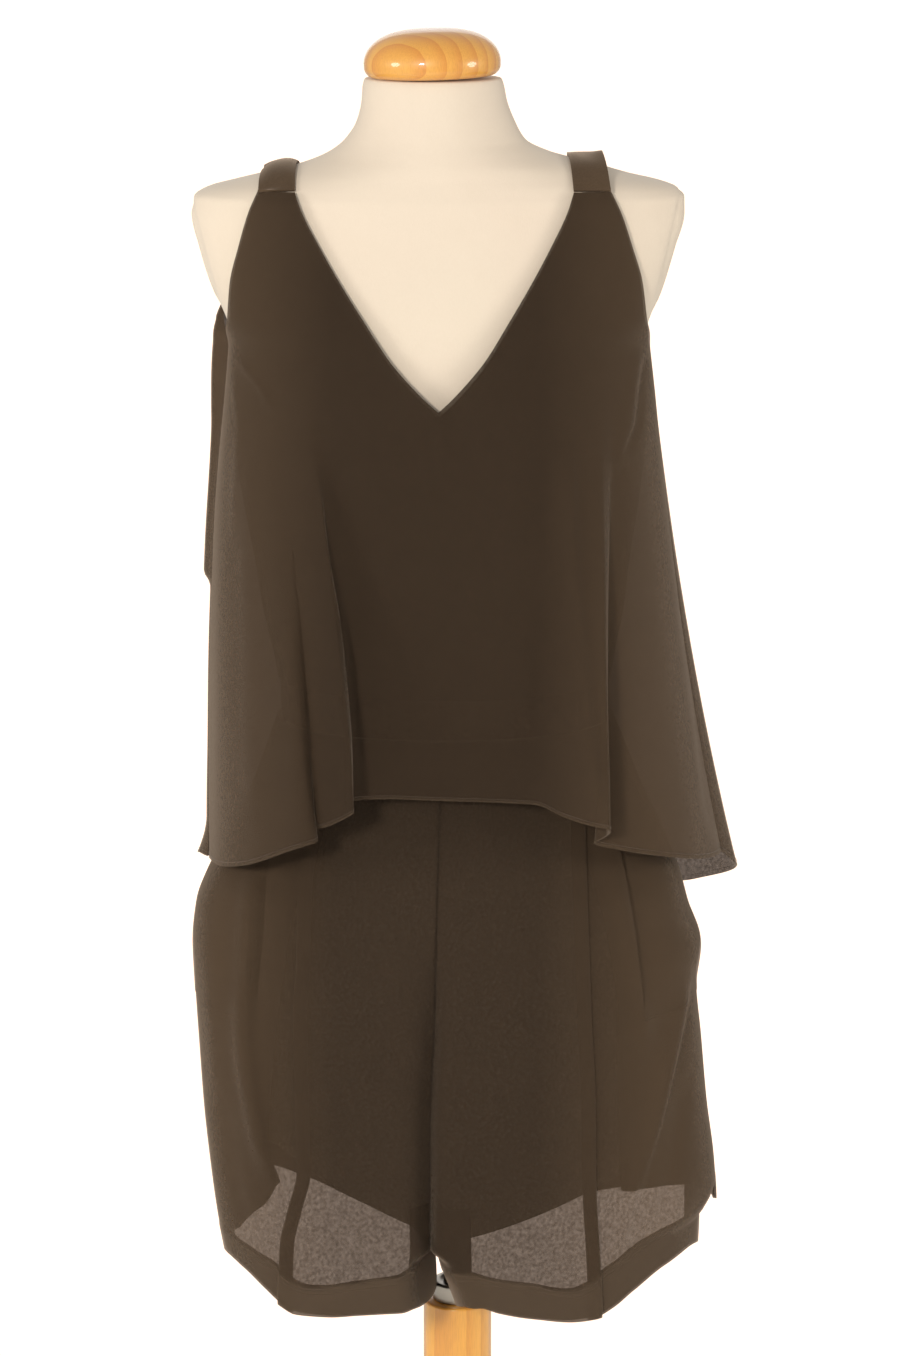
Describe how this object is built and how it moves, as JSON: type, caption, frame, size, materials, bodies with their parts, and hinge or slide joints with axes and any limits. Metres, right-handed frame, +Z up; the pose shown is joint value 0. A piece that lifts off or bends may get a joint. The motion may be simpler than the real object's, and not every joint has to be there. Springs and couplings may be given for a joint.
{
  "type": "playsuit on a dress form",
  "caption": "Sleeveless V-neck playsuit with a loose flared top layer over short legs, worn by a limbless dress form on a round wooden stand.",
  "frame": {"origin": "on the floor, under the centre of the stand's round base", "axes": "+Z up along the stand's column, -Y towards the front of the garment, +X towards the wearer's left arm"},
  "size_m": [0.46, 0.46, 1.4695],
  "materials": {
    "georgette": "dark brown matte georgette, slightly sheer",
    "jersey": "smooth cream stretch jersey over a padded form",
    "pine": "varnished orange-tan pine with fine grain",
    "steel": "plain satin steel"
  },
  "bodies": {
    "root": {"top_front": "georgette", "top_back": "georgette", "bodice_front": "georgette", "bodice_back": "georgette", "strap_left": "georgette", "strap_right": "georgette", "waistband": "georgette", "shorts_front_left": "georgette", "shorts_front_right": "georgette", "pocket_back_left": "georgette", "pocket_back_right": "georgette", "shorts_back_left": "georgette", "shorts_back_right": "georgette", "form_torso": "jersey", "neck_cap": "pine", "stand_base": "pine", "stand_column": "pine", "stand_clamp": "steel", "stand_tube": "steel"}
  },
  "joints": []
}
